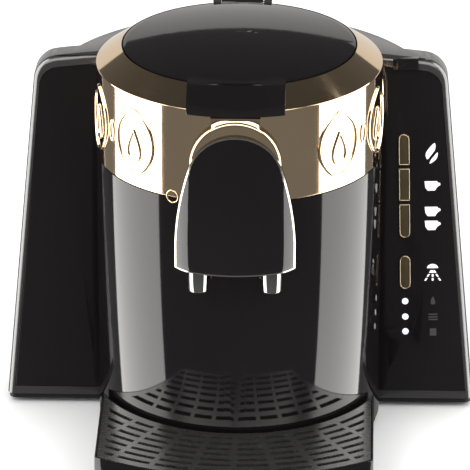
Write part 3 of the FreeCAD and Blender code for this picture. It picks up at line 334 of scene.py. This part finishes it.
def tube_piece(name, paths, radius, material, body, closed=True):
    """Round strokes along smooth closed or open paths, made one mesh."""
    curve = bpy.data.curves.new(name, "CURVE")
    curve.dimensions = "3D"
    curve.bevel_depth = radius
    curve.bevel_resolution = 3
    curve.use_fill_caps = True
    curve.resolution_u = 3
    for points in paths:
        spline = curve.splines.new("NURBS")
        spline.points.add(len(points) - 1)
        for point, place in zip(spline.points, points):
            point.co = (*place, 1)
        spline.use_cyclic_u = closed
        spline.use_endpoint_u = not closed
        spline.order_u = 3
    obj = bpy.data.objects.new(name, curve)
    bpy.context.scene.collection.objects.link(obj)
    only(obj)
    bpy.ops.object.convert(target="MESH")
    obj = bpy.context.object
    bpy.ops.object.shade_smooth()
    return finish_piece(obj, material, body)


def roll_sides(obj):
    """Rolls the hood's two side edges back towards the column, as no operator gives that curve."""
    mesh = obj.data
    work = bmesh.new()
    work.from_mesh(mesh)
    for step in range(23, 33):
        for side in (-1, 1):
            bmesh.ops.bisect_plane(work, geom=work.verts[:] + work.edges[:] + work.faces[:], dist=0.000005,
                                   plane_co=(side * step * MM, 0, 0), plane_no=(1, 0, 0))
    for vert in work.verts:
        past = max(0.0, abs(vert.co.x) - HOOD_ROLL_START) / HOOD_ROLL_RUN
        front = (HOOD_BACK_Y - vert.co.y) / HOOD_FRONT_RUN
        vert.co.y += HOOD_ROLL_DEPTH * past * past * min(1.0, max(0.0, front))
    work.to_mesh(mesh)
    work.free()
    smooth(obj)


def make_spout_highlight_line():
    """Thin bright line along the lower front edge of the spout's underside: a painted highlight, a bright
    metal tube put where the black edge only catches a highlight.
    """
    centre_y, radius, height = AXIS_Y - 37 * MM, 63.4 * MM, 130.3 * MM
    points = []
    for step in range(-28, 29, 4):
        x = step * MM
        points.append((x, centre_y - math.sqrt(radius ** 2 - x * x), height))
    tube_piece("spout_painted_highlight", [points], 0.35 * MM, TRIM, "machine", closed=False)


def make_band():
    """The band: a tube whose upper edge is extruded inwards as the chamfer, down the bore and back inside."""
    height = BAND_TOP_EDGE - BAND_LO.z
    bpy.ops.object.select_all(action="DESELECT")
    bpy.ops.mesh.primitive_cylinder_add(vertices=256, radius=COLUMN_R, depth=height, end_fill_type="NOTHING",
                                        location=(0, AXIS_Y, BAND_LO.z + height / 2))
    band = bpy.context.object
    band.name = "gold_band_shell"
    only(band)
    bpy.ops.object.transform_apply(location=True, rotation=True, scale=True)
    bpy.ops.object.mode_set(mode="EDIT")
    bpy.ops.mesh.select_mode(type="VERT")
    bpy.ops.mesh.select_all(action="DESELECT")
    work = bmesh.from_edit_mesh(band.data)
    for vert in work.verts:
        vert.select = vert.co.z > BAND_TOP_EDGE - 1 * MM
    work.select_flush(True)
    bmesh.update_edit_mesh(band.data)
    bpy.ops.mesh.select_mode(type="EDGE")
    inner, shoulder = COLUMN_R - BAND_WALL, BAND_TOP_EDGE - 1.1 * MM
    radius, level = COLUMN_R, BAND_TOP_EDGE
    for new_radius, new_level in ((BORE_R, BAND_HI.z), (BORE_R, BAND_HI.z - BORE_DEPTH),
                                  (inner, shoulder), (inner, BAND_LO.z)):
        bpy.ops.mesh.extrude_edges_move()
        grow = new_radius / radius
        bpy.ops.transform.resize(value=(grow, grow, 1))
        bpy.ops.transform.translate(value=(0, 0, new_level - level))
        radius, level = new_radius, new_level
    bpy.ops.mesh.select_all(action="DESELECT")
    bpy.ops.mesh.select_non_manifold()
    bpy.ops.mesh.bridge_edge_loops()
    bpy.ops.mesh.select_all(action="SELECT")
    bpy.ops.mesh.normals_make_consistent(inside=False)
    bpy.ops.object.mode_set(mode="OBJECT")
    soften = band.modifiers.new("soften", "BEVEL")
    soften.width = BAND_EDGE
    soften.segments = 3
    soften.limit_method = "ANGLE"
    soften.angle_limit = math.radians(25)
    bpy.ops.object.modifier_apply(modifier="soften")

    half = (BRACKET_HI.x - BRACKET_LO.x) / 2 + NOTCH_GAP
    reach = 30 * MM
    bpy.ops.object.select_all(action="DESELECT")
    bpy.ops.mesh.primitive_cube_add(size=1, location=(0, NOTCH_BACK - reach / 2, NOTCH_LOW + reach / 2))
    notch = bpy.context.object
    notch.scale = (2 * half, reach, reach)
    only(notch)
    bpy.ops.object.transform_apply(location=True, rotation=True, scale=True)
    only(band)
    cut = band.modifiers.new("notch", "BOOLEAN")
    cut.operation = "DIFFERENCE"
    cut.object = notch
    bpy.ops.object.modifier_apply(modifier="notch")
    bpy.data.objects.remove(notch)
    smooth(band)
    even = band.modifiers.new("even", "WEIGHTED_NORMAL")
    even.keep_sharp = True
    bpy.ops.object.modifier_apply(modifier="even")
    finish_piece(band, GOLD, "machine")
    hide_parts("gold_band")


def on_band(u, z, proud):
    """A point u metres round the band from the front, standing proud of it."""
    a = u / COLUMN_R
    r = COLUMN_R + proud
    return (r * math.sin(a), AXIS_Y - r * math.cos(a), z)


def make_ornament():
    """A chain of pointed ovals, each with a drop in it, and a lozenge between, in low half-round strokes."""
    repeats = 12
    pitch = 2 * math.pi * COLUMN_R / repeats
    middle = (BAND_LO.z + BAND_TOP_EDGE) / 2 - 0.5 * MM
    height = 19 * MM
    stroke = 1.35 * MM
    sunk = -0.25 * MM
    ovals, drops, lozenges = [], [], []
    for n in range(1, repeats - 1):
        centre = (n + 0.5) * pitch
        oval = []
        for i in range(28):
            t = 2 * math.pi * i / 28
            swell = abs(math.sin(t)) ** 1.35 * (1 if math.sin(t) > 0 else -1)
            oval.append(on_band(centre + 0.34 * pitch * swell, middle + height * math.cos(t), sunk))
        ovals.append(oval)
        drop = []
        for i in range(18):
            t = 2 * math.pi * i / 18
            wide = math.sin(t) * math.sin(t / 2) ** 1.5
            drop.append(on_band(centre + 0.17 * pitch * wide, middle - 2 * MM + 9.5 * MM * math.cos(t), sunk))
        drops.append(drop)
        if n == 1:
            continue
        lozenge = []
        for i in range(12):
            t = 2 * math.pi * i / 12
            wide = abs(math.sin(t)) ** 1.6 * (1 if math.sin(t) > 0 else -1)
            lozenge.append(on_band(n * pitch + 2.2 * MM * wide, middle + 6.0 * MM * math.cos(t), sunk))
        lozenges.append(lozenge)
    tube_piece("band_ovals", ovals, stroke, GOLD, "machine")
    tube_piece("band_drops", drops, stroke * 0.9, GOLD, "machine")
    tube_piece("band_lozenges", lozenges, stroke * 0.8, GOLD, "machine")


# The right face's keys and signs, drawn flat and laid on the leaning face
def on_face(x, z, out):
    """A point on the right face from its x, its height and how far it stands out."""
    up = (z - FACE_FOOT.z) / math.cos(FACE_LEAN)
    mid = (KEY_MID_Z - FACE_FOOT.z) / math.cos(FACE_LEAN)
    dx, dz = x - KEY_X, up - mid
    tx = KEY_X + dx * math.cos(KEY_TILT) - dz * math.sin(KEY_TILT)
    tz = mid + dx * math.sin(KEY_TILT) + dz * math.cos(KEY_TILT)
    return (tx, FACE_FOOT.y - out * math.cos(FACE_LEAN) + tz * math.sin(FACE_LEAN),
            FACE_FOOT.z + out * math.sin(FACE_LEAN) + tz * math.cos(FACE_LEAN))


def sign(name, outlines, material):
    """Flat printed shapes: filled outlines of (x, z) points, made a mesh and then laid on the right face."""
    curve = bpy.data.curves.new(name, "CURVE")
    curve.dimensions = "2D"
    curve.fill_mode = "BOTH"
    curve.extrude = SIGN_HALF_DEPTH
    for outline in outlines:
        spline = curve.splines.new("POLY")
        spline.points.add(len(outline) - 1)
        for point, (x, z) in zip(spline.points, outline):
            point.co = (x, z, 0, 1)
        spline.use_cyclic_u = True
    obj = bpy.data.objects.new(name, curve)
    bpy.context.scene.collection.objects.link(obj)
    only(obj)
    bpy.ops.object.convert(target="MESH")
    obj = bpy.context.object
    bpy.ops.object.mode_set(mode="EDIT")
    bpy.ops.mesh.select_all(action="SELECT")
    bpy.ops.mesh.remove_doubles(threshold=0.000002)
    bpy.ops.mesh.normals_make_consistent(inside=False)
    bpy.ops.object.mode_set(mode="OBJECT")
    corner = Vector(on_face(0, 0, SIGN_OUT))
    across = Vector(on_face(1, 0, SIGN_OUT)) - corner
    upward = Vector(on_face(0, 1, SIGN_OUT)) - corner
    outward = Vector(on_face(0, 0, SIGN_OUT + MM)) / MM - corner / MM
    rows = [(across[i], upward[i], outward[i], corner[i]) for i in range(3)]
    obj.matrix_world = Matrix(rows + [(0, 0, 0, 1)])
    only(obj)
    bpy.ops.object.transform_apply(location=True, rotation=True, scale=True)
    return finish_piece(obj, material, "machine")


def bent(points, per_edge=5):
    """A smooth closed outline through a few points."""
    out = []
    n = len(points)
    for i in range(n):
        p0, p1, p2, p3 = (points[(i + k - 1) % n] for k in range(4))
        for s in range(per_edge):
            t = s / per_edge
            out.append(tuple(0.5 * (2 * p1[k] + (p2[k] - p0[k]) * t
                                    + (2 * p0[k] - 5 * p1[k] + 4 * p2[k] - p3[k]) * t * t
                                    + (3 * p1[k] - p0[k] - 3 * p2[k] + p3[k]) * t ** 3) for k in range(2)))
    return out


def placed(points, x, z):
    """An outline in millimetres about its own middle, moved to a place in metres."""
    return [(x + px * MM, z + pz * MM) for px, pz in points]


# A cup's outline and the keys' heights in millimetres, each key with whether its top and its bottom are round
CUP = [(-4.3, 2.9), (3.1, 2.9), (3.3, 2.0), (4.6, 1.9), (4.8, 0.6), (3.4, -0.2), (2.5, -1.2), (1.7, -2.7),
       (-2.6, -2.7), (-3.9, -0.9)]
KEYS = {"button_ember": (147.8, 166.5, True, False), "button_single": (126.3, 145.9, False, False),
        "button_double": (104.0, 124.4, False, True), "button_clean": (73.0, 93.4, True, True)}


def make_signs():
    """The printed signs beside the keys, from the top down."""
    leaf = bent([(1.6, 6.2), (1.9, 2.6), (-0.6, -1.2), (-2.6, -3.4), (-3.6, -0.6), (-2.0, 2.6)])
    small = bent([(3.3, 0.6), (3.0, -2.4), (1.2, -4.6), (-1.3, -6.0), (-0.4, -3.6), (1.4, -1.4)])
    sign("sign_ember", [placed(leaf, ICON_X, 154.5 * MM), placed(small, ICON_X, 154.5 * MM)], WHITE)
    sign("sign_single", [placed(CUP, ICON_X, 135.0 * MM)], WHITE)
    sign("sign_double", [placed(CUP, ICON_X, 119.6 * MM), placed(CUP, ICON_X, 111.2 * MM)], WHITE)
    dome = [(3.2 * math.cos(math.pi * i / 10), 2.6 + 2.6 * math.sin(math.pi * i / 10)) for i in range(11)]
    rays = []
    for lean in (-0.5, 0.0, 0.5):
        for start, end in ((-0.2, 1.4), (-2.6, -1.0), (-5.0, -3.4)):
            x0, x1 = lean * (2.6 - start) * 1.15, lean * (2.6 - end) * 1.15
            rays.append([(x0 - 0.55, start), (x0 + 0.55, start), (x1 + 0.55, end), (x1 - 0.55, end)])
    sign("sign_clean", [placed(shape, ICON_X, 82.8 * MM) for shape in [dome] + rays], WHITE)
    drop = bent([(0, 2.6), (1.3, -0.4), (0.9, -2.0), (-0.9, -2.0), (-1.3, -0.4)])
    sign("sign_water", [placed(drop, ICON_X, 65.5 * MM)], DIM)
    lines = [[(-2.6, z), (2.6, z), (2.6, z + 0.8), (-2.6, z + 0.8)] for z in (-1.8, -0.2, 1.4)]
    sign("sign_tray", [placed(line, ICON_X, 55.5 * MM) for line in lines], DIM)
    block = [(-1.9, -2.2), (1.9, -2.2), (1.9, 2.2), (-1.9, 2.2)]
    sign("sign_cup_level", [placed(block, ICON_X, 46.5 * MM)], DIM)


def make_key_outlines():
    """A thin bright rim near the edge of each key, riding on the key."""
    for name, (low, high, round_top, round_bottom) in KEYS.items():
        half = KEY_HALF - RIM_INSET
        z0, z1 = low * MM + RIM_INSET, high * MM - RIM_INSET
        points = []
        for end, rounded, turn in ((z1, round_top, 1), (z0, round_bottom, -1)):
            if rounded:
                centre = end - turn * half
                for i in range(9):
                    a = math.pi * i / 8
                    points.append((KEY_X + turn * half * math.cos(a), centre + turn * half * math.sin(a)))
            else:
                points += [(KEY_X + turn * half, end)] * 2 + [(KEY_X - turn * half, end)] * 2
        path = [on_face(x, z, RIM_OUT) for x, z in points]
        tube_piece(name + "_rim", [path], RIM_RADIUS, OUTLINE, name)


def make_ring_mark():
    """The small round mark at the band's lower edge, left of the hood."""
    angle = math.radians(-25.8)
    reach, radius, height = 80.9 * MM, 3.6 * MM, 166.4 * MM
    centre = Vector((reach * math.sin(angle), AXIS_Y - reach * math.cos(angle), height))
    side = Vector((math.cos(angle), math.sin(angle), 0))
    ring = []
    for step in range(16):
        turn = step * math.pi / 8
        upward = Vector((0, 0, radius * math.cos(turn)))
        ring.append(tuple(centre + side * (radius * math.sin(turn)) + upward))
    tube_piece("ring_mark", [ring], 0.4 * MM, GOLD, "machine")


# Stage, lights and camera
def glossy_card(name, centre, size, turn_z, strength, tilt=0.0):
    """A soft light card that only shiny surfaces see."""
    bpy.ops.mesh.primitive_plane_add(size=1, location=centre, rotation=(math.pi / 2 - tilt, 0, turn_z))
    card = bpy.context.object
    card.name = name
    card.scale = (size[0], size[1], 1)
    material = bpy.data.materials.new(name)
    material.use_nodes = True
    tree = material.node_tree
    tree.nodes.clear()
    glow = tree.nodes.new("ShaderNodeEmission")
    glow.inputs["Strength"].default_value = strength
    glow.inputs["Color"].default_value = (1.0, 0.985, 0.965, 1)
    out = tree.nodes.new("ShaderNodeOutputMaterial")
    tree.links.new(glow.outputs[0], out.inputs[0])
    card.data.materials.append(material)
    card.visible_camera = False
    card.visible_diffuse = False
    card.visible_shadow = False
    card.visible_transmission = False


def make_floor():
    """A pale floor that shiny surfaces see through to the world."""
    bpy.ops.mesh.primitive_plane_add(size=14, location=(0, 0, 0))
    floor = bpy.context.object
    floor.name = "floor"
    material = bpy.data.materials.new("floor_pale")
    material.use_nodes = True
    tree = material.node_tree
    shader = tree.nodes["Principled BSDF"]
    shader.inputs["Base Color"].default_value = (0.86, 0.86, 0.86, 1)
    shader.inputs["Roughness"].default_value = 0.7
    path = tree.nodes.new("ShaderNodeLightPath")
    clear = tree.nodes.new("ShaderNodeBsdfTransparent")
    mix = tree.nodes.new("ShaderNodeMixShader")
    tree.links.new(path.outputs["Is Glossy Ray"], mix.inputs[0])
    tree.links.new(shader.outputs[0], mix.inputs[1])
    tree.links.new(clear.outputs[0], mix.inputs[2])
    tree.links.new(mix.outputs[0], tree.nodes["Material Output"].inputs[0])
    floor.data.materials.append(material)


def make_lights():
    """Four cards for the reflections and three lamps for the plain light."""
    reach = 1.1
    for name, low_deg, high_deg, strength in (("card_left", -114, -62, 6.0), ("card_right", 67, 120, 5.6)):
        middle = math.radians((low_deg + high_deg) / 2)
        width = 2 * reach * math.tan(math.radians((high_deg - low_deg) / 2))
        centre = (reach * math.sin(middle), AXIS_Y - reach * math.cos(middle), -0.1)
        glossy_card(name, centre, (width, 3.4), middle, strength)
    glossy_card("card_back", (0, 2.4, 0.165), (5.0, 1.75), math.pi, 0.8)
    glossy_card("card_above", (0, -0.92, 1.51), (2.6, 1.2), 0, 3.2, math.radians(55))

    for name, place, size, power in (("lamp_key", (-1.6, -1.8, 2.2), 1.6, 44),
                                     ("lamp_fill", (1.8, -1.4, 1.8), 1.6, 28),
                                     ("lamp_top", (0.2, 0.6, 2.6), 2.0, 30)):
        lamp = bpy.data.lights.new(name, "AREA")
        lamp.energy = power
        lamp.size = size
        obj = bpy.data.objects.new(name, lamp)
        obj.location = place
        obj.rotation_euler = (Vector((0, 0, 0.1)) - Vector(place)).to_track_quat("-Z", "Y").to_euler()
        obj.visible_glossy = False
        bpy.context.scene.collection.objects.link(obj)


def make_world():
    """White all round, but dim to shiny surfaces, darker towards the top."""
    world = bpy.data.worlds.new("studio")
    bpy.context.scene.world = world
    world.use_nodes = True
    tree = world.node_tree
    background = tree.nodes["Background"]
    path = tree.nodes.new("ShaderNodeLightPath")
    direction = tree.nodes.new("ShaderNodeTexCoord")
    split = tree.nodes.new("ShaderNodeSeparateXYZ")
    tree.links.new(direction.outputs["Generated"], split.inputs[0])
    fall = tree.nodes.new("ShaderNodeMapRange")
    tree.links.new(split.outputs["Z"], fall.inputs["Value"])
    for key, value in (("From Min", -0.6), ("From Max", 0.8), ("To Min", 0.22), ("To Max", 0.055)):
        fall.inputs[key].default_value = value
    strength = tree.nodes.new("ShaderNodeMix")
    strength.data_type = "FLOAT"
    tree.links.new(path.outputs["Is Glossy Ray"], strength.inputs[0])
    strength.inputs[2].default_value = 1.0
    tree.links.new(fall.outputs[0], strength.inputs[3])
    tree.links.new(strength.outputs[0], background.inputs["Strength"])
    background.inputs["Color"].default_value = (1, 1, 1, 1)


def make_camera():
    """The camera fitted to the photograph; the lens comes from its focal length in pixels."""
    pixels, focal_pixels, sensor = 470, 5148, 36
    elevation = math.radians(23.15)
    azimuth = math.radians(1.6)
    distance = 2.95
    aim = Vector((-2.5 * MM, AXIS_Y, 112.3 * MM))
    data = bpy.data.cameras.new("camera")
    data.lens = focal_pixels / pixels * sensor
    data.sensor_width = sensor
    data.clip_end = 50
    camera = bpy.data.objects.new("camera", data)
    camera.location = aim + distance * Vector((math.sin(azimuth) * math.cos(elevation),
                                               -math.cos(azimuth) * math.cos(elevation), math.sin(elevation)))
    camera.rotation_euler = (aim - camera.location).to_track_quat("-Z", "Y").to_euler()
    bpy.context.scene.collection.objects.link(camera)
    bpy.context.scene.camera = camera


make_camera()
make_floor()
make_lights()
make_world()
for material, names in PLAIN_NODES.values():
    for node in names:
        NODES[node].data.materials.clear()
        NODES[node].data.materials.append(material)
for node, (material, bevel) in SMOOTH_NODES.items():
    piece = refined(node, material, bevel)
    if node in ("spout_hood", "hood_trim"):
        roll_sides(piece)
make_band()
make_ornament()
make_signs()
make_key_outlines()
make_ring_mark()
# The painted highlight: a bright tube standing in for the highlight on the spout's lower edge
make_spout_highlight_line()

bpy.context.scene.view_settings.view_transform = "Standard"
